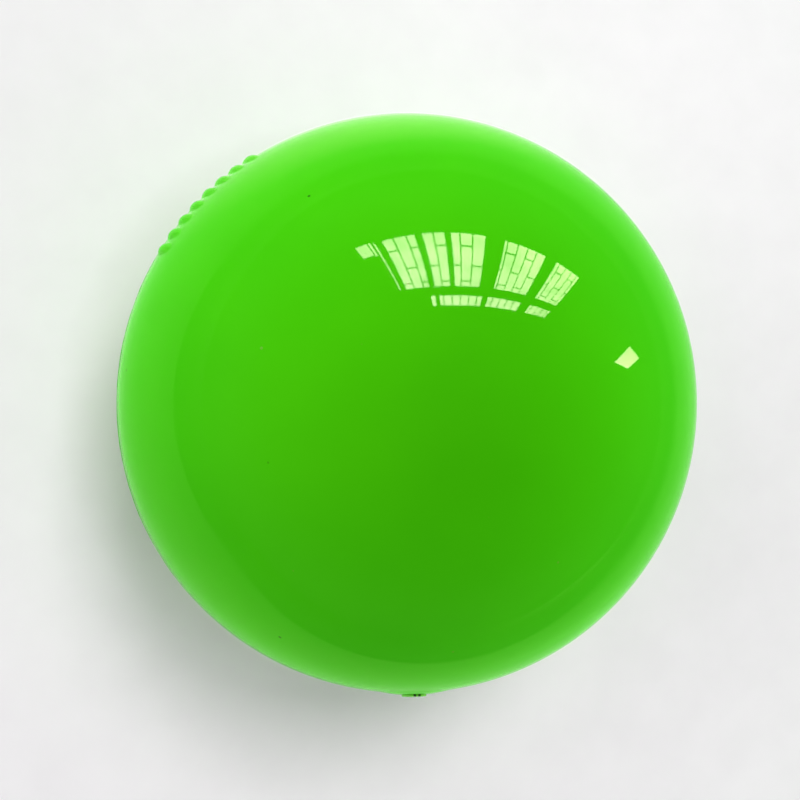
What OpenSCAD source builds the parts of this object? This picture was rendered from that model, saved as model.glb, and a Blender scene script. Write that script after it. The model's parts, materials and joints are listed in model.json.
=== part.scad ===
// Hollow bouncy ball: two moulded halves lapped and bonded at the equator, with a plug valve.
// Millimetres. The origin is the ball's centre, +Z is up and the seam lies in the plane z = 0.
// The valve faces -Y, a little above the seam, and a row of grip ribs is on the upper half.

/* [Ball] */
// Outside diameter of the ball
ball_d = 216; // [160:1:300]
// Thickness of the moulded wall
wall = 2.2; // [1.6:0.1:4]

/* [Seam] */
// How far the upper half's tongue reaches down inside the lower half
tongue_h = 3; // [2:0.5:8]
// Thickness of the cured cement between the halves
bond_t = 0.2; // [0.1:0.05:0.4]
// Radius of the rounded bead along the outside of the seam
bead_r = 0.45; // [0.35:0.05:0.7]
// How far the bead stands proud of the ball
bead_proud = 0.25; // [0.1:0.05:0.3]

/* [Grip ribs] */
// Number of ribs in the row
rib_count = 8; // [3:1:12]
// Distance between neighbouring ribs, measured round the ball
rib_pitch = 6.4; // [5.4:0.1:10]
// Length of a rib where it runs out into the ball
rib_len = 20; // [14:1:34]
// Height of a rib at its middle
rib_rise = 1.3; // [0.5:0.1:1.6]
// Radius of a rib's rounded section
rib_round_r = 3; // [2:0.1:4]
// Height of the ribs' lower ends above the seam
rib_seam_gap = 6; // [5:0.5:40]
// Bearing of the row's middle, in degrees from +X towards +Y
rib_bearing = 140; // [90:1:200]

/* [Valve pad and seat] */
// Radius at which the raised pad runs out into the ball
pad_r = 12.5; // [9:0.5:18]
// Height of the pad at its middle
pad_rise = 0.8; // [0.4:0.1:1.6]
// Height of the pad's lower edge above the seam
pad_seam_gap = 14.5; // [4:0.5:30]
// Radius of the bore that holds the plug's stem
bore_r = 3.1; // [2:0.1:5]
// Thickness of the seat's sleeve round the bore
sleeve_wall = 1.7; // [1:0.1:3]
// Length of the sleeve inside the ball
sleeve_len = 14; // [10:1:30]
// Depth of the recess that takes the plug's head
recess_depth = 0.8; // [0.6:0.1:1.4]
// Width of the seat's rim round the recess
seat_rim_w = 1.1; // [0.8:0.1:2.5]
// Width of the flange that holds the seat against the wall
flange_w = 3.2; // [2:0.1:6]
// Thickness of that flange
flange_t = 1.2; // [0.8:0.1:2.5]
// Width of the patch beyond the flange
patch_w = 5.4; // [3:0.1:12]
// Thickness of the patch over the flange
patch_t = 1; // [0.6:0.1:2]

/* [Plug] */
// Diameter of the plug's head
head_d = 9; // [7:0.5:14]
// Thickness of the head at its middle
head_t = 1.4; // [1.2:0.1:3]
// How much the head's top is crowned
head_crown = 0.35; // [0.1:0.05:0.6]
// Radius of the dimple in the head's top
dimple_r = 1.6; // [1:0.1:2.4]
// Depth of that dimple
dimple_depth = 0.35; // [0.1:0.05:0.5]
// Radius of the two pick-out grooves in the head's rim
groove_r = 0.45; // [0.3:0.05:0.7]
// Distance between the two grooves
groove_pitch = 1.7; // [1.5:0.1:2.5]
// Radius of the stem between its sealing rings
stem_r = 2.5; // [1.5:0.1:2.8]
// How far the stem reaches past the end of the sleeve
stem_past = 2; // [1:0.5:6]
// Length of the stem's tapered tip
tip_len = 3; // [2:0.5:6]
// Radius of the stem's tip
tip_r = 1.5; // [0.8:0.1:1.5]
// Number of sealing rings
ring_count = 3; // [1:1:4]
// Distance from the head to the first ring
ring_first = 4; // [3:0.5:6]
// Distance between neighbouring rings
ring_pitch = 4; // [2.5:0.5:5]
// Radius of a ring's rounded section
ring_round_r = 1; // [0.7:0.1:1.2]

/* [Clearances] */
// Radial clearance of the sealing rings in the bore
ring_gap = 0.05; // [0.02:0.01:0.1]
// Radial clearance of the head in its recess
head_side_gap = 0.3; // [0.2:0.05:0.5]
// Clearance under the head
head_under_gap = 0.2; // [0.1:0.05:0.4]

/* [Hidden] */
$fn = 180;

// Every cut runs past the solid by this much
overrun = 1;

skin_green = [0.28, 0.77, 0.04];
cement_green = [0.34, 0.70, 0.14];
seat_green = [0.22, 0.62, 0.06];
patch_grey = [0.30, 0.34, 0.28];
plug_green = [0.30, 0.74, 0.08];

ball_r = ball_d / 2;
inner_r = ball_r - wall;
// The seam's step and the roots of the ribs and pad lie at the middle of the wall
mid_r = ball_r - wall / 2;

// Radius of the round cap that rises above the ball by rise and meets it at half the span
function cap_height(rise, half_span) = ball_r + rise - sqrt(pow(ball_r, 2) - pow(half_span, 2));
function cap_radius(height, half_span) = (pow(height, 2) + pow(half_span, 2)) / (2 * height);

pad_ball_r = cap_radius(cap_height(pad_rise, pad_r), pad_r);
rib_arc_r = cap_radius(cap_height(rib_rise, rib_len / 2), rib_len / 2);
rib_lat = asin((rib_len / 2 + rib_seam_gap) / ball_r);
rib_step = rib_pitch / (ball_r * cos(rib_lat)) * 180 / PI;

valve_lat = asin((pad_r + pad_seam_gap) / ball_r);
head_r = head_d / 2;
recess_r = head_r + head_side_gap;
neck_r = recess_r + seat_rim_w;
flange_r = neck_r + flange_w;
patch_r = flange_r + patch_w;
sleeve_r = bore_r + sleeve_wall;

// Heights along the valve's axis, from the ball's centre
recess_floor = ball_r + pad_rise - recess_depth;
flange_inside = inner_r - flange_t;
flange_middle = inner_r - flange_t / 2;
sleeve_end = flange_inside - sleeve_len;
head_base = recess_floor + head_under_gap;
stem_len = head_base - sleeve_end + stem_past;

ring_r = bore_r - ring_gap;
crown_ball_r = cap_radius(head_crown, head_r);
dimple_ball_r = cap_radius(dimple_depth, dimple_r);
groove_turn = asin(groove_pitch / 2 / head_r);

// Turns +Z to the valve's axis and +Y to the way up on the ball
module at_valve() {
  rotate([90 - valve_lat, 0, 0]) children();
}

// A round bar along the axis, from one height to another
module bar(r, from, to) {
  translate([0, 0, from]) cylinder(r = r, h = to - from);
}

// The space between two spheres round the ball's centre
module hollow(outside_r, inside_r) {
  difference() {
    sphere(r = outside_r);
    sphere(r = inside_r);
  }
}

// Half of the wall's section, cut to the outline that it is given
module wall_section() {
  intersection() {
    difference() {
      circle(r = ball_r);
      circle(r = inner_r);
    }
    children();
  }
}

// Section of the bead along the outside of the seam
module bead_section() {
  translate([ball_r + bead_proud - bead_r, 0]) circle(r = bead_r);
}

// The upper half reaches down to the bond, with its tongue on the inside of the wall
module upper_section() {
  reach = ball_r + overrun;
  step_r = mid_r - bond_t / 2;
  difference() {
    wall_section() polygon([
      [0, reach],
      [reach, reach],
      [reach, bond_t / 2],
      [step_r, bond_t / 2],
      [step_r, -tongue_h],
      [0, -tongue_h]
    ]);
    bead_section();
  }
}

// The lower half reaches up to the bond, with its lip on the outside of the wall
module lower_section() {
  reach = ball_r + overrun;
  step_r = mid_r + bond_t / 2;
  floor_z = -tongue_h - bond_t;
  difference() {
    wall_section() polygon([
      [0, -reach],
      [reach, -reach],
      [reach, -bond_t / 2],
      [step_r, -bond_t / 2],
      [step_r, floor_z],
      [0, floor_z]
    ]);
    bead_section();
  }
}

// The bond fills the stepped gap between the halves and ends in the bead
module bond_section() {
  tongue_r = mid_r - bond_t / 2;
  lip_r = mid_r + bond_t / 2;
  floor_z = -tongue_h - bond_t;
  wall_section() polygon([
    [ball_r, bond_t / 2],
    [tongue_r, bond_t / 2],
    [tongue_r, -tongue_h],
    [0, -tongue_h],
    [0, floor_z],
    [lip_r, floor_z],
    [lip_r, -bond_t / 2],
    [ball_r, -bond_t / 2]
  ]);
  bead_section();
}

// The ball that the pad's top is a cap of
module pad_ball() {
  translate([0, 0, ball_r + pad_rise - pad_ball_r]) sphere(r = pad_ball_r);
}

// The raised pad round the valve, rooted in the middle of the wall
module valve_pad() {
  difference() {
    intersection() {
      pad_ball();
      bar(pad_r + overrun, sleeve_end, ball_r + pad_rise + overrun);
    }
    sphere(r = mid_r);
  }
}

// One rib along a meridian: the cap of a ring that rises out of the ball and sinks back into it
module grip_rib(bearing) {
  rotate([0, 90 - rib_lat, bearing]) difference() {
    translate([0, 0, ball_r + rib_rise - rib_arc_r])
      rotate([90, 0, 0])
      rotate_extrude() translate([rib_arc_r - rib_round_r, 0]) circle(r = rib_round_r);
    sphere(r = mid_r);
  }
}

module upper_half_shell() {
  color(skin_green) difference() {
    union() {
      rotate_extrude() upper_section();
      at_valve() valve_pad();
      for (i = [0 : rib_count - 1]) grip_rib(rib_bearing + (i - (rib_count - 1) / 2) * rib_step);
    }
    at_valve() bar(neck_r, flange_middle, ball_r + pad_rise + overrun);
  }
}

module lower_half_shell() {
  color(skin_green) rotate_extrude() lower_section();
}

module seam_bond() {
  color(cement_green) rotate_extrude() bond_section();
}

// The flange follows the inside of the wall
module seat_flange() {
  intersection() {
    hollow(inner_r, flange_inside);
    bar(flange_r, sleeve_end, ball_r);
  }
}

module valve_seat() {
  color(seat_green) at_valve() difference() {
    union() {
      intersection() {
        bar(neck_r, flange_middle, ball_r + pad_rise + overrun);
        pad_ball();
      }
      seat_flange();
      bar(sleeve_r, sleeve_end, flange_middle);
    }
    bar(bore_r, sleeve_end - overrun, ball_r);
    bar(recess_r, recess_floor, ball_r + pad_rise + overrun);
  }
}

// The patch lies over the flange and is bonded to the wall round it
module valve_patch() {
  color(patch_grey) at_valve() difference() {
    intersection() {
      hollow(inner_r, flange_inside - patch_t);
      bar(patch_r, sleeve_end, ball_r);
    }
    intersection() {
      hollow(ball_r, flange_inside);
      bar(flange_r, sleeve_end, ball_r);
    }
    bar(sleeve_r, sleeve_end, ball_r);
  }
}

// Section of the plug's head, with its crowned top and dimple
module head_section() {
  difference() {
    intersection() {
      square([head_r, head_t]);
      translate([0, head_t - crown_ball_r]) circle(r = crown_ball_r);
    }
    translate([0, head_t - dimple_depth + dimple_ball_r]) circle(r = dimple_ball_r);
  }
}

// Section of the stem, with its tapered tip
module stem_section() {
  polygon([
    [0, head_t / 2],
    [stem_r, head_t / 2],
    [stem_r, tip_len - stem_len],
    [tip_r, -stem_len],
    [0, -stem_len]
  ]);
}

// One sealing ring, at a depth below the head
module sealing_ring(depth) {
  translate([0, 0, -depth])
    rotate_extrude() translate([ring_r - ring_round_r, 0]) circle(r = ring_round_r);
}

module valve_plug() {
  color(plug_green) at_valve() translate([0, 0, head_base]) difference() {
    union() {
      rotate_extrude() head_section();
      rotate_extrude() stem_section();
      for (i = [0 : ring_count - 1]) sealing_ring(ring_first + i * ring_pitch);
    }
    for (side = [-1, 1])
      rotate([0, 0, side * groove_turn]) translate([0, head_r, 0])
        bar(groove_r, -overrun, head_t + overrun);
  }
}

upper_half_shell();
lower_half_shell();
seam_bond();
valve_seat();
valve_patch();
valve_plug();
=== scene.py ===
"""Finished look of a hollow bouncy ball: skin, seam, valve, floor, light and camera."""
import json
import math

import bpy
import numpy as np
from mathutils import Matrix, Vector


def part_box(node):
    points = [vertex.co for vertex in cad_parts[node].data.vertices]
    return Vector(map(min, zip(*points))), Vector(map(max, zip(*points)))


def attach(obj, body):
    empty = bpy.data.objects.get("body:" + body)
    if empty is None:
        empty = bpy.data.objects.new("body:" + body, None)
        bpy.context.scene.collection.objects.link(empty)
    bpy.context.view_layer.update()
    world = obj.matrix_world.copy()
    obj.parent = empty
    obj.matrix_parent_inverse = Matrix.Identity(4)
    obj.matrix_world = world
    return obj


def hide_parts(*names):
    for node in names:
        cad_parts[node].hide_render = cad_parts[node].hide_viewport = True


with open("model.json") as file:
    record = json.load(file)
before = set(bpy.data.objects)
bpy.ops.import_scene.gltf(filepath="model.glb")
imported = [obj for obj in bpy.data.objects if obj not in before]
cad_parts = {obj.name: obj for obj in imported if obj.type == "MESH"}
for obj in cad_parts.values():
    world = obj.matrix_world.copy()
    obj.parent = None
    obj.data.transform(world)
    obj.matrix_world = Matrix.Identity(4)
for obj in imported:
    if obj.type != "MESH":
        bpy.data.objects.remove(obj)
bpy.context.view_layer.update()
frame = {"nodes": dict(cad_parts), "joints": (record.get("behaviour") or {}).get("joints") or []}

MM = 0.001

# Sizes of the ball and its seam, as the solids have them
BALL_R = -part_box("lower_half_shell")[0].z
WALL = 2.2 * MM
INNER_R = BALL_R - WALL
MID_R = BALL_R - WALL / 2
BOND_T = 0.2 * MM
TONGUE_H = 3 * MM
TONGUE_R = MID_R - BOND_T / 2
LIP_R = MID_R + BOND_T / 2
LIP_FLOOR = -TONGUE_H - BOND_T

# Sizes of the seam's bead, and the turns round its section where it meets the skin and the bond
BEAD_R = 0.45 * MM
BEAD_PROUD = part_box("seam_bond")[1].x - BALL_R
BEAD_MIDDLE = BALL_R + BEAD_PROUD - BEAD_R
BEAD_MEET = math.acos((BALL_R ** 2 - BEAD_MIDDLE ** 2 - BEAD_R ** 2) / (2 * BEAD_MIDDLE * BEAD_R))
BEAD_ROOT = math.pi - math.asin(BOND_T / 2 / BEAD_R)

# Sizes of the grip ribs; a rib's foot runs on past its ends, sinks under the skin and closes in the wall
RIB_COUNT = 8
RIB_PITCH = 6.4 * MM
RIB_LEN = 20 * MM
RIB_RISE = 1.3 * MM
RIB_ROUND_R = 3 * MM
RIB_SEAM_GAP = 6 * MM
RIB_BEARING = math.radians(140)
RIB_LAT = math.asin((RIB_LEN / 2 + RIB_SEAM_GAP) / BALL_R)
RIB_FOOT = 2.6 * MM
RIB_FOOT_BLEND = 0.35 * MM
RIB_FOOT_SINK = 0.05 * MM
RIB_ROOT_DEPTH = 0.5 * MM
RIB_WIDTH_SHARE = 0.97

# Sizes of the valve, with heights along its axis from the ball's centre
PAD_R = 12.5 * MM
PAD_RISE = 0.8 * MM
PAD_MARGIN = 2 * MM
PAD_BLEND = 0.12 * MM
BORE_R = 3.1 * MM
SLEEVE_R = 4.8 * MM
RECESS_R = 4.8 * MM
NECK_R = 5.9 * MM
FLANGE_R = 9.1 * MM
FLANGE_T = 1.2 * MM
SLEEVE_LEN = 14 * MM
RECESS_DEPTH = 0.8 * MM
RECESS_FLOOR = BALL_R + PAD_RISE - RECESS_DEPTH
FLANGE_INSIDE = INNER_R - FLANGE_T
SLEEVE_END = FLANGE_INSIDE - SLEEVE_LEN
HOLE_ROUND = 0.12 * MM
RECESS_LIP_ROUND = 0.2 * MM
RECESS_FLOOR_ROUND = 0.1 * MM
FLANGE_ROUND = 0.15 * MM
SLEEVE_ROUND = 0.4 * MM
BORE_ROUND = 0.15 * MM

# Sizes of the plug
HEAD_R = 4.5 * MM
HEAD_T = 1.4 * MM
HEAD_CROWN = 0.35 * MM
HEAD_GAP = 0.2 * MM
HEAD_ROUND = 0.3 * MM
HEAD_UNDER_ROUND = 0.12 * MM
DIMPLE_R = 1.6 * MM
DIMPLE_DEPTH = 0.35 * MM
DIMPLE_BLEND = 0.06 * MM
NOTCH_R = 0.45 * MM
NOTCH_PITCH = 1.7 * MM
# Share of a notch's radius within which the head's faces take the painted shade
NOTCH_SHADE_SHARE = 1.02
STEM_R = 2.5 * MM
STEM_PAST = 2 * MM
STEM_ROUND = 0.2 * MM
TIP_LEN = 3 * MM
TIP_R = 1.5 * MM
TIP_ROUND = 0.5 * MM
RING_COUNT = 3
RING_FIRST = 4 * MM
RING_PITCH = 4 * MM
RING_ROUND_R = 1 * MM
RING_R = 3.05 * MM
RING_BLEND = 0.08 * MM
HEAD_BASE = RECESS_FLOOR + HEAD_GAP
STEM_LEN = HEAD_BASE - SLEEVE_END + STEM_PAST

# Directions to turn a section about: an axis and the two directions square to it
X_AXIS, Y_AXIS, Z_AXIS = np.eye(3)
VALVE_AXIS = np.array(frame["joints"][0]["axis"], float)
VALVE_AXIS /= np.linalg.norm(VALVE_AXIS)
VALVE_ACROSS = X_AXIS
VALVE_UP = np.cross(VALVE_AXIS, VALVE_ACROSS)
UPRIGHT = (Z_AXIS, X_AXIS, Y_AXIS)
VALVE = (VALVE_AXIS, VALVE_ACROSS, VALVE_UP)

# Fineness of the meshes
ARC_STEPS = 5
SHARP_ANGLE = math.radians(38)
POLE_R = 1e-9
RAYS = 384
PAD_RINGS = 18
SKIN_RINGS = 128
INNER_RINGS = 40
LOWER_RINGS = 96
LATHE_SEGMENTS = 256
BEAD_SEGMENTS = 512
BEAD_POINTS = 29
RIB_ROWS, RIB_COLUMNS = 52, 22
VALVE_SEGMENTS = 192
PLUG_SEGMENTS = 360
HEAD_POINTS = 26
STEM_POINTS = 90
SEAM_HOLD = 0.06 * MM


# Small helpers for shapes
def unit(v):
    return v / np.linalg.norm(v)


def smooth_max(a, b, blend):
    return 0.5 * (a + b + np.sqrt((a - b) ** 2 + blend ** 2))


def smooth_min(a, b, blend):
    return -smooth_max(-a, -b, blend)


def circle_height(radius, r):
    """Height of a circle above its middle at a distance to the side."""
    return math.sqrt(radius ** 2 - r ** 2)


def cap_radius(height, half_span):
    """Radius of the sphere that a cap of this height and half span is cut from."""
    return (height ** 2 + half_span ** 2) / (2 * height)


def cap_height(rise, half_span):
    """Height of a cap that stands proud of the ball, from the level where it meets the ball."""
    return BALL_R + rise - circle_height(BALL_R, half_span)


def rounded_outline(corners):
    """Turns (r, h, rounding) corners into points, with an arc where a corner has a rounding."""
    points = []
    for i, (r, h, rounding) in enumerate(corners):
        here = np.array((r, h))
        if rounding == 0:
            points.append(here)
            continue
        before = unit(np.array(corners[i - 1][:2]) - here)
        after = unit(np.array(corners[(i + 1) % len(corners)][:2]) - here)
        half = math.acos(np.clip(before @ after, -1, 1)) / 2
        centre = here + unit(before + after) * rounding / math.sin(half)
        start = here + before * rounding / math.tan(half) - centre
        end = here + after * rounding / math.tan(half) - centre
        turn = math.pi - 2 * half
        for t in np.linspace(0, 1, ARC_STEPS + 1):
            blend = math.sin((1 - t) * turn) * start + math.sin(t * turn) * end
            points.append(centre + blend / math.sin(turn))
    return points


def sphere_arc(radius, start, end, count):
    """Points (r, h) of a sphere's section between two latitudes."""
    return [(radius * math.cos(a), radius * math.sin(a)) for a in np.linspace(start, end, count)]


# Mesh building
def add_piece(name, points, faces, materials, second=()):
    """Makes an object of points and faces, faced outwards, with its sharp edges marked.

    The faces that second names have the second material.
    """
    points = np.asarray(points, float)
    mesh = bpy.data.meshes.new(name)
    mesh.from_pydata(points.tolist(), [], faces)
    mesh.validate()
    fans = np.array([(f[0], f[k], f[k + 1]) for f in faces for k in range(1, len(f) - 1)])
    a, b, c = points[fans[:, 0]], points[fans[:, 1]], points[fans[:, 2]]
    if np.sum(a * np.cross(b, c)) < 0:
        mesh.flip_normals()
    mesh.shade_smooth()
    mesh.set_sharp_from_angle(angle=SHARP_ANGLE)
    for material in materials:
        mesh.materials.append(material)
    for face in second:
        mesh.polygons[face].material_index = 1
    piece = bpy.data.objects.new(name, mesh)
    bpy.context.scene.collection.objects.link(piece)
    return piece


def join_rings(rings, closed=False):
    """Joins rings of points into one skin. A ring with a single point is a pole."""
    points = np.vstack(rings)
    starts = np.cumsum([0] + [len(r) for r in rings])
    faces = []
    pairs = [(i, i + 1) for i in range(len(rings) - 1)]
    if closed:
        pairs.append((len(rings) - 1, 0))
    for i, j in pairs:
        a, b = int(starts[i]), int(starts[j])
        n, m = len(rings[i]), len(rings[j])
        for k in range(max(n, m)):
            following = (k + 1) % max(n, m)
            if n == 1:
                faces.append((a, b + k, b + following))
            elif m == 1:
                faces.append((a + k, b, a + following))
            else:
                faces.append((a + k, b + k, b + following, a + following))
    return points, faces


def merge_meshes(parts):
    """Puts several (points, faces) meshes into one."""
    points, faces, start = [], [], 0
    for p, f in parts:
        points.append(p)
        faces.extend(tuple(start + v for v in face) for face in f)
        start += len(p)
    return np.vstack(points), faces


def turned(outline, segments, directions, shape=None):
    """Rings of an (r, h) outline turned about an axis. shape may change a radius with the angle."""
    axis, across, up = directions
    angles = np.arange(segments) * 2 * math.pi / segments
    spokes = np.cos(angles)[:, None] * across + np.sin(angles)[:, None] * up
    rings = []
    for r, h in outline:
        if r < POLE_R:
            rings.append((h * axis)[None, :])
            continue
        radii = np.full(segments, r) if shape is None else shape(r, angles)
        rings.append(radii[:, None] * spokes + h * axis)
    return rings


# Material building
def new_material(name):
    material = bpy.data.materials.new(name)
    material.use_nodes = True
    tree = material.node_tree
    return material, tree, tree.nodes["Principled BSDF"]


def object_coords(tree):
    return tree.nodes.new("ShaderNodeTexCoord").outputs["Object"]


def noise(tree, coords, scale, detail=2.0, rough=0.5):
    node = tree.nodes.new("ShaderNodeTexNoise")
    node.inputs["Scale"].default_value = scale
    node.inputs["Detail"].default_value = detail
    node.inputs["Roughness"].default_value = rough
    tree.links.new(coords, node.inputs["Vector"])
    return node.outputs["Fac"]


def ramp(tree, value, stops):
    """A colour ramp with (place, colour) stops; a colour may be one grey value."""
    node = tree.nodes.new("ShaderNodeValToRGB")
    while len(node.color_ramp.elements) < len(stops):
        node.color_ramp.elements.new(0.5)
    for element, (place, colour) in zip(node.color_ramp.elements, stops):
        element.position = place
        grey = isinstance(colour, (int, float))
        element.color = (colour,) * 3 + (1,) if grey else tuple(colour) + (1,)
    tree.links.new(value, node.inputs["Fac"])
    return node.outputs["Color"]


def mix(tree, low, high, mask=None):
    """Blends two colours by a mask, or multiplies them where there is none."""
    node = tree.nodes.new("ShaderNodeMix")
    node.data_type = "RGBA"
    if mask is None:
        node.blend_type = "MULTIPLY"
        node.inputs["Factor"].default_value = 1.0
    else:
        tree.links.new(mask, node.inputs["Factor"])
    colours = [s for s in node.inputs if s.type == "RGBA"]
    for socket, value in zip(colours, (low, high)):
        if isinstance(value, tuple):
            socket.default_value = value + (1,)
        else:
            tree.links.new(value, socket)
    return [s for s in node.outputs if s.type == "RGBA"][0]


def spread(tree, value, low, high, from_low=0.0, from_high=1.0):
    """Maps a value from one range to another."""
    node = tree.nodes.new("ShaderNodeMapRange")
    node.inputs["From Min"].default_value = from_low
    node.inputs["From Max"].default_value = from_high
    node.inputs["To Min"].default_value = low
    node.inputs["To Max"].default_value = high
    tree.links.new(value, node.inputs["Value"])
    return node.outputs["Result"]


def grain(tree, shader, coords, scale, depth, strength, detail=2.0):
    """Gives a surface a fine unevenness."""
    node = tree.nodes.new("ShaderNodeBump")
    node.inputs["Strength"].default_value = strength
    node.inputs["Distance"].default_value = depth
    tree.links.new(noise(tree, coords, scale, detail), node.inputs["Height"])
    tree.links.new(node.outputs["Normal"], shader.inputs["Normal"])


# A speck's full core as a share of its size, and how sharply the cells that hold one are picked
SPECK_CORE_SHARE = 0.6
SPECK_PICK = 0.01


def speckle(tree, shader, coords, colour, scale, size, rarity):
    """Lays sparse round specks over a base colour: one in some cells of a scatter."""
    cells = tree.nodes.new("ShaderNodeTexVoronoi")
    cells.inputs["Scale"].default_value = scale
    tree.links.new(coords, cells.inputs["Vector"])
    near = ramp(tree, cells.outputs["Distance"], [(SPECK_CORE_SHARE * size, 1.0), (size, 0.0)])
    pick = tree.nodes.new("ShaderNodeSeparateColor")
    tree.links.new(cells.outputs["Color"], pick.inputs["Color"])
    chosen = ramp(tree, pick.outputs["Red"], [(rarity, 0.0), (rarity + SPECK_PICK, 1.0)])
    both = tree.nodes.new("ShaderNodeMath")
    both.operation = "MULTIPLY"
    tree.links.new(near, both.inputs[0])
    tree.links.new(chosen, both.inputs[1])
    below = shader.inputs["Base Color"].links[0].from_socket
    tree.links.new(mix(tree, below, colour, both.outputs["Value"]), shader.inputs["Base Color"])


def toned_material(name, scale, tones, roughness, detail=3.0):
    """A material whose colour and roughness follow one noise.

    tones are two (noise level, colour) stops, and roughness is a low and a high value.
    """
    material, tree, shader = new_material(name)
    coords = object_coords(tree)
    tone = noise(tree, coords, scale, detail)
    tree.links.new(ramp(tree, tone, tones), shader.inputs["Base Color"])
    tree.links.new(spread(tree, tone, *roughness), shader.inputs["Roughness"])
    return material, tree, shader, coords


# The moulded rubber is dyed through and clear at its surface, so gloss seen through it turns green
RUBBER_IOR = 1.52
DYE_TINT = (0.62, 1.0, 0.30)
DYE_IOR = 1.05


def dyed_gloss(shader):
    shader.inputs["IOR"].default_value = RUBBER_IOR
    shader.inputs["Coat Weight"].default_value = 1.0
    shader.inputs["Coat Roughness"].default_value = 0.03
    shader.inputs["Coat IOR"].default_value = DYE_IOR
    shader.inputs["Coat Tint"].default_value = DYE_TINT + (1,)


def skin_material():
    """Glossy moulded rubber: faint mottling, pale dust, dark grit, smudges and a slight orange peel."""
    material, tree, shader = new_material("skin_gloss")
    coords = object_coords(tree)
    mottle = noise(tree, coords, scale=14, detail=3.0)
    green = ramp(tree, mottle, [(0.3, (0.083, 0.495, 0.0030)), (0.7, (0.100, 0.54, 0.0045))])
    tree.links.new(green, shader.inputs["Base Color"])
    speckle(tree, shader, coords, colour=(0.24, 0.44, 0.16), scale=150, size=0.09, rarity=0.93)
    speckle(tree, shader, coords, colour=(0.012, 0.14, 0.0005), scale=95, size=0.07, rarity=0.95)
    smudge = noise(tree, coords, scale=22, detail=4.0, rough=0.6)
    smudged = spread(tree, smudge, low=0.02, high=0.055, from_low=0.4, from_high=0.75)
    tree.links.new(smudged, shader.inputs["Roughness"])
    dyed_gloss(shader)
    shader.inputs["Sheen Weight"].default_value = 0.36
    shader.inputs["Sheen Roughness"].default_value = 0.4
    shader.inputs["Sheen Tint"].default_value = (0.10, 1.0, 0.02, 1)
    grain(tree, shader, coords, scale=120, depth=0.4 * MM, strength=0.012, detail=1.0)
    return material


def cement_material():
    """Cured cement: satin, a little duller than the skin, with small waves."""
    tones = ((0.35, (0.065, 0.36, 0.010)), (0.7, (0.090, 0.43, 0.020)))
    material, tree, shader, coords = toned_material("cement_satin", 160, tones, roughness=(0.22, 0.40))
    dyed_gloss(shader)
    grain(tree, shader, coords, scale=420, depth=0.3 * MM, strength=0.25)
    return material


def seat_material():
    """Satin moulded rubber of the valve seat, a darker green than the skin."""
    tones = ((0.3, (0.040, 0.25, 0.003)), (0.75, (0.060, 0.32, 0.007)))
    material, tree, shader, coords = toned_material("seat_satin", 300, tones, roughness=(0.18, 0.34))
    dyed_gloss(shader)
    grain(tree, shader, coords, scale=1500, depth=0.1 * MM, strength=0.3)
    return material


def plug_material():
    """Moulded plug: semi-gloss, with fine scuffs from being pulled; its green is painted paler than the
    skin's, as a painted reflection of the pale floor.
    """
    # The plug's green, painted paler than the skin's to stand in for the pale floor's reflection
    tones = ((0.3, (0.16, 0.70, 0.04)), (0.7, (0.20, 0.78, 0.06)))
    material, tree, shader, coords = toned_material("plug_gloss", 260, tones, roughness=(0.10, 0.24))
    speckle(tree, shader, coords, colour=(0.28, 0.80, 0.14), scale=1600, size=0.22, rarity=0.86)
    shader.inputs["IOR"].default_value = RUBBER_IOR
    grain(tree, shader, coords, scale=1200, depth=0.1 * MM, strength=0.15)
    return material


def notch_shade_material():
    """Painted shade in the plug's notches: their faces are coloured near black, as the shade in them."""
    tones = ((0.3, (0.010, 0.05, 0.002)), (0.7, (0.025, 0.11, 0.006)))
    return toned_material("notch_painted_shade", 900, tones, roughness=(0.5, 0.8))[0]


def patch_material():
    """Matte rubberised patch with a fabric-like grain."""
    tones = ((0.3, (0.06, 0.08, 0.05)), (0.7, (0.09, 0.115, 0.08)))
    roughness = (0.65, 0.9)
    material, tree, shader, coords = toned_material("patch_matte", 400, tones, roughness, detail=4.0)
    grain(tree, shader, coords, scale=2200, depth=0.2 * MM, strength=0.5)
    return material


SKIN = skin_material()


# Upper skin: rings round the valve's hole that spread until they reach the seam
PAD_BALL_R = cap_radius(cap_height(PAD_RISE, PAD_R), PAD_R)
PAD_MIDDLE = BALL_R + PAD_RISE - PAD_BALL_R
PAD_ANGLE = math.asin((PAD_R + PAD_MARGIN) / BALL_R)


def pad_height(r):
    """Height along the valve's axis of the pad's top, at a distance from that axis."""
    return PAD_MIDDLE + circle_height(PAD_BALL_R, r)


def pad_radius(alpha):
    """Distance of the skin from the ball's centre on and round the pad."""
    cap = PAD_MIDDLE * math.cos(alpha) + circle_height(PAD_BALL_R, PAD_MIDDLE * math.sin(alpha))
    return float(smooth_max(cap, BALL_R, PAD_BLEND))


def valve_points(alpha, ray_angles, radius):
    """Points at an angle from the valve's axis, along rays round it."""
    spokes = np.cos(ray_angles)[:, None] * VALVE_ACROSS + np.sin(ray_angles)[:, None] * VALVE_UP
    alpha = np.broadcast_to(alpha, ray_angles.shape)[:, None]
    return radius * (np.cos(alpha) * VALVE_AXIS + np.sin(alpha) * spokes)


def angle_to_level(z, radius, ray_angles):
    """Angle from the valve's axis at which each ray reaches a level on a sphere."""
    along = VALVE_AXIS[2]
    rising = VALVE_UP[2] * np.sin(ray_angles)
    return np.arctan2(rising, along) + np.arccos(z / radius / np.hypot(rising, along))


def level_ring(edge, r, z):
    """A level ring at a radius and height, with the bearings of another ring's points."""
    flat = edge[:, :2] / np.linalg.norm(edge[:, :2], axis=1)[:, None]
    return np.column_stack((flat * r, np.full(len(edge), z)))


def bead_point(turn):
    """A point (r, z) of the bead's section."""
    return BEAD_MIDDLE + BEAD_R * math.cos(turn), BEAD_R * math.sin(turn)


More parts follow.
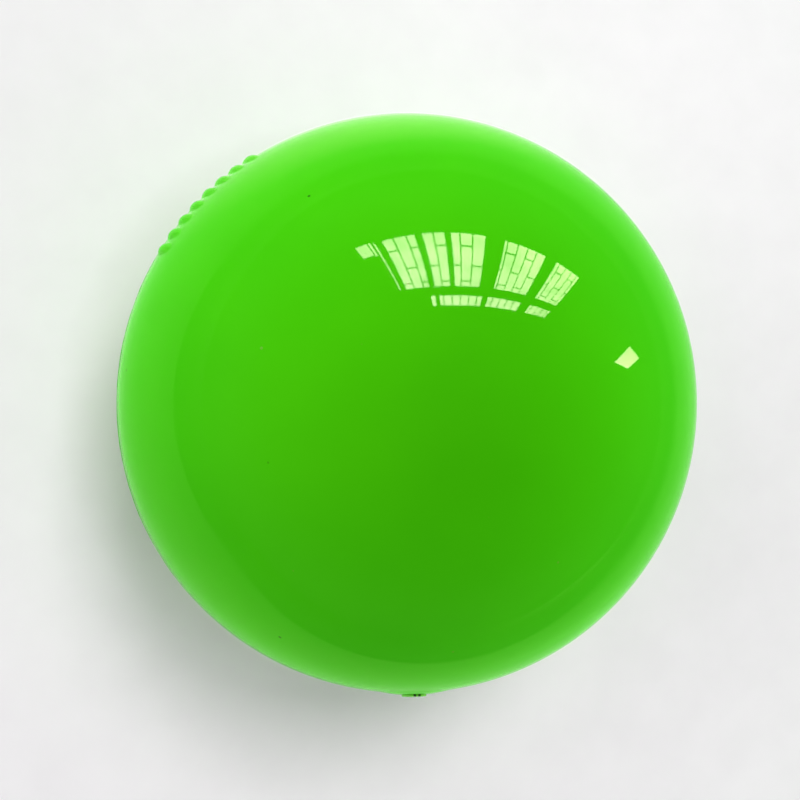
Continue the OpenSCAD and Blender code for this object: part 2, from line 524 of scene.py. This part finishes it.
def bead_arc(side):
    """Points of the bead's section from the skin's edge to the bond, above or below the seam."""
    return [bead_point(side * turn) for turn in np.linspace(BEAD_MEET, BEAD_ROOT, ARC_STEPS + 1)]


def grip_rib(bearing):
    """One rib as a closed patch whose foot curves into the skin and ends just under it."""
    east = np.array((-math.sin(bearing), math.cos(bearing), 0.0))
    level = np.array((math.cos(bearing), math.sin(bearing), 0.0))
    out = math.cos(RIB_LAT) * level + math.sin(RIB_LAT) * Z_AXIS
    north = np.cross(out, east)
    arc_r = cap_radius(cap_height(RIB_RISE, RIB_LEN / 2), RIB_LEN / 2)
    middle = BALL_R + RIB_RISE - arc_r
    reach = RIB_LEN / 2 + RIB_FOOT
    half_width = RIB_WIDTH_SHARE * RIB_ROUND_R
    lengthwise = np.linspace(-reach, reach, RIB_ROWS + 1)
    crosswise = np.linspace(-half_width, half_width, RIB_COLUMNS + 1)
    x, y = np.meshgrid(lengthwise, crosswise, indexing="ij")
    ball = np.sqrt(BALL_R ** 2 - x ** 2 - y ** 2)
    section = arc_r - RIB_ROUND_R + np.sqrt(RIB_ROUND_R ** 2 - y ** 2)
    rib = middle + np.sqrt(section ** 2 - x ** 2)
    top = ball + smooth_max(rib - ball, -RIB_FOOT_SINK, RIB_FOOT_BLEND)
    flat = x[..., None] * north + y[..., None] * east
    sheets = [(flat + height[..., None] * out).reshape(-1, 3) for height in (top, ball - RIB_ROOT_DEPTH)]
    rows = np.arange(x.size).reshape(x.shape).tolist()
    faces = []
    for row, following in zip(rows, rows[1:]):
        for j in range(RIB_COLUMNS):
            quad = (row[j], row[j + 1], following[j + 1], following[j])
            faces.append(quad)
            faces.append(tuple(x.size + v for v in reversed(quad)))
    right = [row[-1] for row in rows[1:]]
    left = [row[0] for row in rows[-2:0:-1]]
    rim = rows[0] + right + rows[-1][-2::-1] + left
    for a, b in zip(rim, rim[1:] + rim[:1]):
        faces.append((b, a, x.size + a, x.size + b))
    return np.vstack(sheets), faces


def upper_skin():
    """The upper half's skin, with the valve's pad and hole, its side of the lap joint and the ribs."""
    rays = np.arange(RAYS) * 2 * math.pi / RAYS
    bead = bead_arc(1)
    edge_z = bead[0][1]
    hole = rounded_outline([
        (NECK_R, circle_height(INNER_R, NECK_R), 0),
        (NECK_R, pad_height(NECK_R), HOLE_ROUND),
        (NECK_R + 2 * HOLE_ROUND, pad_height(NECK_R + 2 * HOLE_ROUND), 0),
    ])
    rings = turned(hole, RAYS, VALVE)
    first = math.atan2(*hole[-1])
    for alpha in np.linspace(first, PAD_ANGLE, PAD_RINGS)[1:]:
        rings.append(valve_points(alpha, rays, pad_radius(alpha)))
    last = angle_to_level(edge_z + SEAM_HOLD, BALL_R, rays)
    for t in np.linspace(0, 1, SKIN_RINGS + 1)[1:]:
        rings.append(valve_points(PAD_ANGLE + (last - PAD_ANGLE) * t, rays, BALL_R))
    edge = valve_points(angle_to_level(edge_z, BALL_R, rays), rays, BALL_R)
    rings.append(edge)
    lap = [*bead[1:], (TONGUE_R, BOND_T / 2), (TONGUE_R, -TONGUE_H)]
    rings += [level_ring(edge, r, z) for r, z in lap]
    inside_first = math.asin(NECK_R / INNER_R)
    inside_last = angle_to_level(-TONGUE_H, INNER_R, rays)
    for t in np.linspace(1, 0, INNER_RINGS)[:-1]:
        rings.append(valve_points(inside_first + (inside_last - inside_first) * t, rays, INNER_R))
    parts = [join_rings(rings, closed=True)]
    step = RIB_PITCH / (BALL_R * math.cos(RIB_LAT))
    for i in range(RIB_COUNT):
        parts.append(grip_rib(RIB_BEARING + (i - (RIB_COUNT - 1) / 2) * step))
    return add_piece("upper_skin", *merge_meshes(parts), [SKIN])


# Lower skin and seam bead, turned about the upright axis
def lower_skin():
    """The lower half's skin: its outside from the lowest point up, the lap joint and its inside."""
    bead = bead_arc(-1)
    hold = math.asin((bead[0][1] - SEAM_HOLD) / BALL_R)
    outline = sphere_arc(BALL_R, -math.pi / 2, hold, LOWER_RINGS)
    outline += bead
    outline += [(LIP_R, -BOND_T / 2), (LIP_R, LIP_FLOOR)]
    outline += sphere_arc(INNER_R, math.asin(LIP_FLOOR / INNER_R), -math.pi / 2, INNER_RINGS)
    rings = turned(outline, LATHE_SEGMENTS, UPRIGHT)
    return add_piece("lower_skin", *join_rings(rings), [SKIN])


# The bead's unevenness: its share of the bead's rise, and the size, count and start of its waves
BEAD_UNEVEN_SHARE = 0.25
BEAD_WAVES = ((0.5, 23, 1.3), (0.3, 57, 0.0), (0.2, 131, 0.4))


def seam_bead():
    """The bond between the halves, with a bead that was wiped by hand and so is a little uneven."""
    outline = [bead_point(turn) for turn in np.linspace(BEAD_ROOT, -BEAD_ROOT, BEAD_POINTS)]
    outline += [
        (LIP_R, -BOND_T / 2),
        (LIP_R, LIP_FLOOR),
        (circle_height(INNER_R, LIP_FLOOR), LIP_FLOOR),
        (circle_height(INNER_R, TONGUE_H), -TONGUE_H),
        (TONGUE_R, -TONGUE_H),
        (TONGUE_R, BOND_T / 2),
    ]
    meet_r = bead_point(BEAD_MEET)[0]

    def uneven(r, angles):
        share = np.clip((r - meet_r) / BEAD_PROUD, 0, 1)
        wave = sum(size * np.sin(count * angles + start) for size, count, start in BEAD_WAVES)
        return r + share * BEAD_UNEVEN_SHARE * BEAD_PROUD * (wave - 1)

    rings = turned(outline, BEAD_SEGMENTS, UPRIGHT, uneven)
    return add_piece("seam_bead", *join_rings(rings, closed=True), [cement_material()])


# Valve seat and plug, turned about the valve's axis
def valve_grommet():
    """The seat in the wall: a recess for the plug's head, a neck, a flange, a sleeve and the bore."""
    outline = rounded_outline([
        (RECESS_R, pad_height(RECESS_R), RECESS_LIP_ROUND),
        (NECK_R, pad_height(NECK_R), HOLE_ROUND),
        (NECK_R, circle_height(INNER_R, NECK_R), 0),
        (FLANGE_R, circle_height(INNER_R, FLANGE_R), FLANGE_ROUND),
        (FLANGE_R, circle_height(FLANGE_INSIDE, FLANGE_R), FLANGE_ROUND),
        (SLEEVE_R, circle_height(FLANGE_INSIDE, SLEEVE_R), 0),
        (SLEEVE_R, SLEEVE_END, SLEEVE_ROUND),
        (BORE_R, SLEEVE_END, SLEEVE_ROUND),
        (BORE_R, RECESS_FLOOR, BORE_ROUND),
        (RECESS_R, RECESS_FLOOR, RECESS_FLOOR_ROUND),
    ])
    rings = turned(outline, VALVE_SEGMENTS, VALVE)
    return add_piece("valve_grommet", *join_rings(rings, closed=True), [seat_material()])


CROWN_BALL_R = cap_radius(HEAD_CROWN, HEAD_R)
DIMPLE_BALL_R = cap_radius(DIMPLE_DEPTH, DIMPLE_R)
NOTCH_TURN = math.asin(NOTCH_PITCH / 2 / HEAD_R)


def head_top(r):
    """Height of the plug's crowned and dimpled head above its base."""
    crown = HEAD_T - CROWN_BALL_R + circle_height(CROWN_BALL_R, r)
    if r >= 2 * DIMPLE_R:
        return crown
    dimple = HEAD_T - DIMPLE_DEPTH + DIMPLE_BALL_R - circle_height(DIMPLE_BALL_R, r)
    return float(smooth_min(crown, dimple, DIMPLE_BLEND))


def stem_radius(z):
    """Radius of the plug's stem and sealing rings at a height below the head's base."""
    swell = 0.0
    for i in range(RING_COUNT):
        off = z + RING_FIRST + i * RING_PITCH
        if abs(off) < RING_ROUND_R:
            swell = RING_R - RING_ROUND_R + circle_height(RING_ROUND_R, off)
    return float(smooth_max(STEM_R, swell, RING_BLEND))


def plug_outline():
    """The plug's section from the middle of its head to the end of its tip."""
    flat_r = HEAD_R - 2 * HEAD_ROUND
    stem_top, tip_top = -RING_FIRST / 2, TIP_LEN - STEM_LEN
    outline = [(r, head_top(r)) for r in np.linspace(0, flat_r, HEAD_POINTS)]
    outline += rounded_outline([
        (flat_r, head_top(flat_r), 0),
        (HEAD_R, head_top(HEAD_R), HEAD_ROUND),
        (HEAD_R, 0, HEAD_UNDER_ROUND),
        (STEM_R, 0, STEM_ROUND),
        (STEM_R, stem_top, 0),
    ])[1:]
    outline += [(stem_radius(z), z) for z in np.linspace(stem_top, tip_top, STEM_POINTS)[1:]]
    outline += rounded_outline([
        (STEM_R, tip_top, 0),
        (TIP_R, -STEM_LEN, TIP_ROUND),
        (0, -STEM_LEN, 0),
    ])[1:]
    return [(r, HEAD_BASE + z) for r, z in outline]


def notched(r, angles):
    """Radii round the plug, cut back where the head's notches are."""
    radii = np.full(len(angles), r)
    for side in (-1, 1):
        off = angles - (math.pi / 2 + side * NOTCH_TURN)
        inside = NOTCH_R ** 2 - (HEAD_R * np.sin(off)) ** 2
        hit = (inside > 0) & (np.cos(off) > 0)
        bottom = HEAD_R * np.cos(off) - np.sqrt(np.maximum(inside, 0))
        radii = np.where(hit, np.minimum(radii, bottom), radii)
    return radii


def plug():
    """The plug, with painted shade on the faces of its notches."""
    points, faces = join_rings(turned(plug_outline(), PLUG_SEGMENTS, VALVE, notched))
    middles = np.array([points[list(f)].mean(axis=0) for f in faces])
    off_axis = np.column_stack((middles @ VALVE_ACROSS, middles @ VALVE_UP))
    on_head = middles @ VALVE_AXIS > HEAD_BASE
    shaded = np.zeros(len(faces), bool)
    for side in (-1, 1):
        notch = HEAD_R * np.array((math.sin(side * NOTCH_TURN), math.cos(NOTCH_TURN)))
        # Faces of the head near a notch take the painted shade
        near = np.linalg.norm(off_axis - notch, axis=1) < NOTCH_SHADE_SHARE * NOTCH_R
        shaded |= near & on_head
    materials = [plug_material(), notch_shade_material()]
    return add_piece("plug", points, faces, materials, second=np.flatnonzero(shaded))


# The pieces, the bodies that they ride on and the solids that they stand for
for piece, body, node, slot in (
        (upper_skin(), "ball", "upper_half_shell", "skin"),
        (lower_skin(), "ball", "lower_half_shell", "skin"),
        (seam_bead(), "ball", "seam_bond", "cement"),
        (valve_grommet(), "ball", "valve_seat", "seat"),
        (plug(), "plug", "valve_plug", "plug")):
    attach(piece, body)
    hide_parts(node)

patch = frame["nodes"]["valve_patch"]
patch.data.materials.clear()
patch.data.materials.append(patch_material())

# The set is turned a little about the upright axis, so that the valve lies where the photograph has it
SET_TURN = Matrix.Rotation(math.radians(2.4), 3, "Z")


def on_set(x, y, z):
    return SET_TURN @ Vector((x, y, z))


def level_rectangle(left, right, front, back, z):
    """Corners of a level rectangle on the set."""
    corners = ((left, front), (right, front), (right, back), (left, back))
    return [on_set(x, y, z) for x, y in corners]


def quad_sheet(name, quads, material):
    """A stage object of separate four-cornered sheets."""
    points = [tuple(p) for quad in quads for p in quad]
    faces = [tuple(range(4 * i, 4 * i + 4)) for i in range(len(quads))]
    mesh = bpy.data.meshes.new(name)
    mesh.from_pydata(points, [], faces)
    mesh.materials.append(material)
    sheet = bpy.data.objects.new(name, mesh)
    bpy.context.scene.collection.objects.link(sheet)
    return sheet


# Floor: a pale sheet on a larger floor, each with rings of tone by the distance from the ball; the
# sheet's rings are painted shade and light
SHEET_LEFT, SHEET_RIGHT = -4.7 * BALL_R, 6.5 * BALL_R
SHEET_FRONT, SHEET_BACK = -4.2 * BALL_R, 6.5 * BALL_R
SHEET_LIFT = 0.4 * MM
SHEET_NOISE = 40
# The sheet's rings are painted light and shade: a painted shade at the ball's foot, a faint pink near
# the ball that cancels the green light the ball throws, and a painted pool of light that fades to grey
# further out
SHEET_PAINTED_LIGHT_RINGS = (
    (1.0 * BALL_R, (0.78, 0.755, 0.755)),
    (1.25 * BALL_R, (0.96, 0.91, 0.955)),
    (2.0 * BALL_R, (0.955, 0.91, 0.955)),
    (2.9 * BALL_R, (0.94, 0.925, 0.94)),
    (4.0 * BALL_R, (0.80, 0.80, 0.80)),
    (4.8 * BALL_R, (0.76, 0.76, 0.76)),
    (6.5 * BALL_R, (0.42, 0.42, 0.42)),
)
FLOOR_HALF = 1.7
FLOOR_NOISE = 6
FLOOR_RINGS = ((4.0 * BALL_R, (0.40, 0.40, 0.40)), (14.0 * BALL_R, (0.38, 0.38, 0.38)))
FLOOR_MOTTLE = ((0.3, 0.97), (0.7, 1.0))


def floor_material(name, rings, scale):
    """A matte floor: a tone for each distance from the ball, with a faint unevenness; on the pale sheet
    these tones are painted shade and light.
    """
    material, tree, shader = new_material(name)
    coords = object_coords(tree)
    away = tree.nodes.new("ShaderNodeVectorMath")
    away.operation = "LENGTH"
    tree.links.new(coords, away.inputs[0])
    reach = math.hypot(rings[-1][0], BALL_R)
    share = spread(tree, away.outputs["Value"], 0.0, 1.0, 0.0, reach)
    tone = ramp(tree, share, [(math.hypot(r, BALL_R) / reach, shade) for r, shade in rings])
    uneven = ramp(tree, noise(tree, coords, scale, detail=3.0), FLOOR_MOTTLE)
    tree.links.new(mix(tree, tone, uneven), shader.inputs["Base Color"])
    shader.inputs["Roughness"].default_value = 0.9
    shader.inputs["Specular IOR Level"].default_value = 0.0
    return material


def floor():
    top = level_rectangle(SHEET_LEFT, SHEET_RIGHT, SHEET_FRONT, SHEET_BACK, -BALL_R)
    quad_sheet("pale_sheet", [top], floor_material("pale_sheet", SHEET_PAINTED_LIGHT_RINGS, SHEET_NOISE))
    under = level_rectangle(-FLOOR_HALF, FLOOR_HALF, -FLOOR_HALF, FLOOR_HALF, -BALL_R - SHEET_LIFT)
    quad_sheet("wide_floor", [under], floor_material("wide_floor", FLOOR_RINGS, FLOOR_NOISE))


# Glowing sheets that only the gloss mirrors, with spans in metres from the ball's centre
PANE_BACK = 3.05
MAIN_ROW = (1.5, 3.4)
TOP_ROW = (3.8, 4.4)
SHORT_BAY, SHORT_ROW = (-1.45, -1.1), (1.45, 1.95)
EDGE_BAY = (-1.08, -1.02)
MAIN_BAYS = ((-0.9, -0.25), (-0.13, 0.3), (0.4, 1.1), (1.5, 2.6), (2.95, 3.95))
TOP_BAYS = ((-0.3, -0.15), (-0.05, 1.25), (1.4, 2.6), (2.95, 3.95))
STRIP_START, STRIP_PITCH = -0.67, 0.25
STRIP_GAP = 0.03
TIE_GAP = 0.05
ODD_TIES, EVEN_TIES = (1.9, 3.15), (2.55,)
SIDE_RIGHT = 3.1
SIDE_CORNERS = ((0.8, 0.6), (0.6, 0.38), (0.5, 0.82), (0.65, 1.2))
PANE_COLOUR = (0.72, 0.40, 1.0)
PANE_STRENGTH = 28.0
SIDE_STRENGTH = 28.0
DIM_SHARE, BRIGHT_SHARE = 0.75, 1.2
BACK_MIDDLE, BACK_HALF = 2.3 * BALL_R, 1.9 * BALL_R
BACK_Z = -BALL_R + 2 * SHEET_LIFT
BACK_COLOUR = (0.9, 0.3, 1.0)
BACK_STRENGTH = 1.3
BACK_FADE = ((0.0, 1.0), (0.5, 0.6), (1.0, 0.0))


def pane_bricks(bay, row, tied):
    """Splits a bay of a row, spans across and up, into upright strips, and a tied strip into bricks."""
    first = math.floor((bay[0] - STRIP_START) / STRIP_PITCH) + 1
    last = math.ceil((bay[1] - STRIP_START) / STRIP_PITCH)
    cuts = [STRIP_START + k * STRIP_PITCH for k in range(first, last)]
    cuts = [cut for cut in cuts if bay[0] + STRIP_GAP < cut < bay[1] - STRIP_GAP]
    edges = [bay[0], *cuts, bay[1]]
    bricks = []
    side, end = STRIP_GAP / 2, TIE_GAP / 2
    for left, right in zip(edges, edges[1:]):
        strip = math.floor(((left + right) / 2 - STRIP_START) / STRIP_PITCH)
        ties = ODD_TIES if strip % 2 else EVEN_TIES
        levels = [row[0], *(t for t in ties if tied and row[0] < t < row[1]), row[1]]
        for low, high in zip(levels, levels[1:]):
            bricks.append((left + side, right - side, low + end, high - end))
    return bricks


def glow_material(name, colour):
    """A glowing material, with its tree, its glow and the socket that its surface goes into."""
    material = bpy.data.materials.new(name)
    material.use_nodes = True
    tree = material.node_tree
    tree.nodes.clear()
    glow = tree.nodes.new("ShaderNodeEmission")
    glow.inputs["Color"].default_value = colour + (1,)
    surface = tree.nodes.new("ShaderNodeOutputMaterial").inputs["Surface"]
    tree.links.new(glow.outputs["Emission"], surface)
    return material, tree, glow, surface


def pane_material(name, strength):
    """A pane's glow, brighter and dimmer by turns."""
    material, tree, glow = glow_material(name, PANE_COLOUR)[:3]
    cloud = noise(tree, object_coords(tree), scale=1.6, detail=3.0)
    dim, bright = DIM_SHARE * strength, BRIGHT_SHARE * strength
    level = spread(tree, cloud, dim, bright, from_low=0.3, from_high=0.7)
    tree.links.new(level, glow.inputs["Strength"])
    return material


def back_material():
    """A glow that fades out from its middle and is added to what lies under it."""
    material, tree, glow, surface = glow_material("back_glow", BACK_COLOUR)
    from_middle = tree.nodes.new("ShaderNodeVectorMath")
    from_middle.operation = "DISTANCE"
    tree.links.new(object_coords(tree), from_middle.inputs[0])
    from_middle.inputs[1].default_value = on_set(0, BACK_MIDDLE, BACK_Z)
    share = spread(tree, from_middle.outputs["Value"], 0.0, 1.0, 0.0, BACK_HALF)
    fade = ramp(tree, share, [(place, level * BACK_STRENGTH) for place, level in BACK_FADE])
    tree.links.new(fade, glow.inputs["Strength"])
    clear = tree.nodes.new("ShaderNodeBsdfTransparent")
    both = tree.nodes.new("ShaderNodeAddShader")
    tree.links.new(glow.outputs["Emission"], both.inputs[0])
    tree.links.new(clear.outputs["BSDF"], both.inputs[1])
    tree.links.new(both.outputs["Shader"], surface)
    return material


def mirrored_sheet(name, quads, material):
    """A glowing sheet for reflections alone: the lamps light the surfaces."""
    sheet = quad_sheet(name, quads, material)
    sheet.visible_camera = False
    sheet.visible_diffuse = False
    sheet.visible_shadow = False


def paned_light():
    bricks = pane_bricks(SHORT_BAY, SHORT_ROW, True)
    bricks += pane_bricks(EDGE_BAY, MAIN_ROW, False)
    for bay in MAIN_BAYS:
        bricks += pane_bricks(bay, MAIN_ROW, True)
    for bay in TOP_BAYS:
        bricks += pane_bricks(bay, TOP_ROW, False)
    quads = []
    for left, right, low, high in bricks:
        corners = ((left, low), (right, low), (right, high), (left, high))
        quads.append([on_set(x, PANE_BACK, z) for x, z in corners])
    mirrored_sheet("paned_light", quads, pane_material("paned_glow", PANE_STRENGTH))


def side_light():
    quad = [on_set(SIDE_RIGHT, y, z) for y, z in SIDE_CORNERS]
    mirrored_sheet("side_light", [quad], pane_material("side_glow", SIDE_STRENGTH))


def back_glow():
    """The brightest stretch of the sheet, behind the ball: the gloss mirrors it in the far edge."""
    front, back = BACK_MIDDLE - BACK_HALF, BACK_MIDDLE + BACK_HALF
    quad = level_rectangle(-BACK_HALF, BACK_HALF, front, back, BACK_Z)
    mirrored_sheet("back_glow", [quad], back_material())


# Soft white lamps: name, place, width, height and radiance
LAMPS = (
    ("key", (0.2, 1.1, 2.8), 1.0, 1.0, 14.5),
    ("right", (2.6, 0.3, 0.4), 3.0, 0.7, 6.0),
    ("left", (-2.6, 0.3, 0.4), 3.0, 0.7, 5.5),
    ("left_high", (-1.8, 0.9, 2.0), 2.0, 1.5, 1.2),
    ("front", (1.6, -2.0, 0.5), 2.4, 0.7, 5.0),
    ("back", (0.0, 2.6, 0.4), 3.0, 0.7, 6.5),
)


def area_lamp(name, place, width, height, radiance):
    """A soft lamp aimed at the ball, as bright as a sheet of that radiance, and not mirrored."""
    data = bpy.data.lights.new(name, "AREA")
    data.shape = "RECTANGLE"
    data.size = width
    data.size_y = height
    data.energy = radiance * math.pi * width * height
    lamp = bpy.data.objects.new(name, data)
    lamp.location = on_set(*place)
    lamp.rotation_euler = (-lamp.location).to_track_quat("-Z", "Y").to_euler()
    lamp.visible_glossy = False
    bpy.context.scene.collection.objects.link(lamp)


def lights():
    paned_light()
    side_light()
    back_glow()
    for lamp in LAMPS:
        area_lamp(*lamp)


# Tones of the studio round the set, by height from a little under the horizon to overhead
ROOM_LOW = -0.2
ROOM_TONES = ((0.0, 0.33), (0.22, 0.33), (0.5, 0.17), (0.85, 0.06))


def surroundings():
    """A plain studio: pale grey at the horizon and dim overhead, so that the gloss keeps its colour."""
    world = bpy.data.worlds.new("room")
    bpy.context.scene.world = world
    world.use_nodes = True
    tree = world.node_tree
    parts = tree.nodes.new("ShaderNodeSeparateXYZ")
    tree.links.new(tree.nodes.new("ShaderNodeTexCoord").outputs["Generated"], parts.inputs["Vector"])
    height = spread(tree, parts.outputs["Z"], 0.0, 1.0, ROOM_LOW, 1.0)
    tree.links.new(ramp(tree, height, ROOM_TONES), tree.nodes["Background"].inputs["Color"])


floor()
lights()
surroundings()

# Camera: above the ball and a little to its left, with its upper edge towards the paned light
CAMERA_DISTANCE = 4 * BALL_R
CAMERA_LEAN = math.radians(14.5)
IMAGE_PX = 800
BALL_PX = (407, 403)
LIMB_PX = 290


def camera():
    back = on_set(-math.sin(CAMERA_LEAN), 0, math.cos(CAMERA_LEAN))
    up = on_set(0, 1, 0)
    right = up.cross(back)
    data = bpy.data.cameras.new("camera")
    focal_px = LIMB_PX / math.tan(math.asin(BALL_R / CAMERA_DISTANCE))
    data.sensor_width = 36
    data.lens = data.sensor_width * focal_px / IMAGE_PX
    data.shift_x = (IMAGE_PX / 2 - BALL_PX[0]) / IMAGE_PX
    data.shift_y = (BALL_PX[1] - IMAGE_PX / 2) / IMAGE_PX
    data.clip_start = 0.01
    data.clip_end = 50
    view = bpy.data.objects.new("camera", data)
    turn = Matrix((right, up, back)).transposed().to_4x4()
    view.matrix_world = Matrix.Translation(back * CAMERA_DISTANCE) @ turn
    bpy.context.scene.collection.objects.link(view)
    bpy.context.scene.camera = view


camera()
bpy.context.scene.view_settings.view_transform = "Standard"
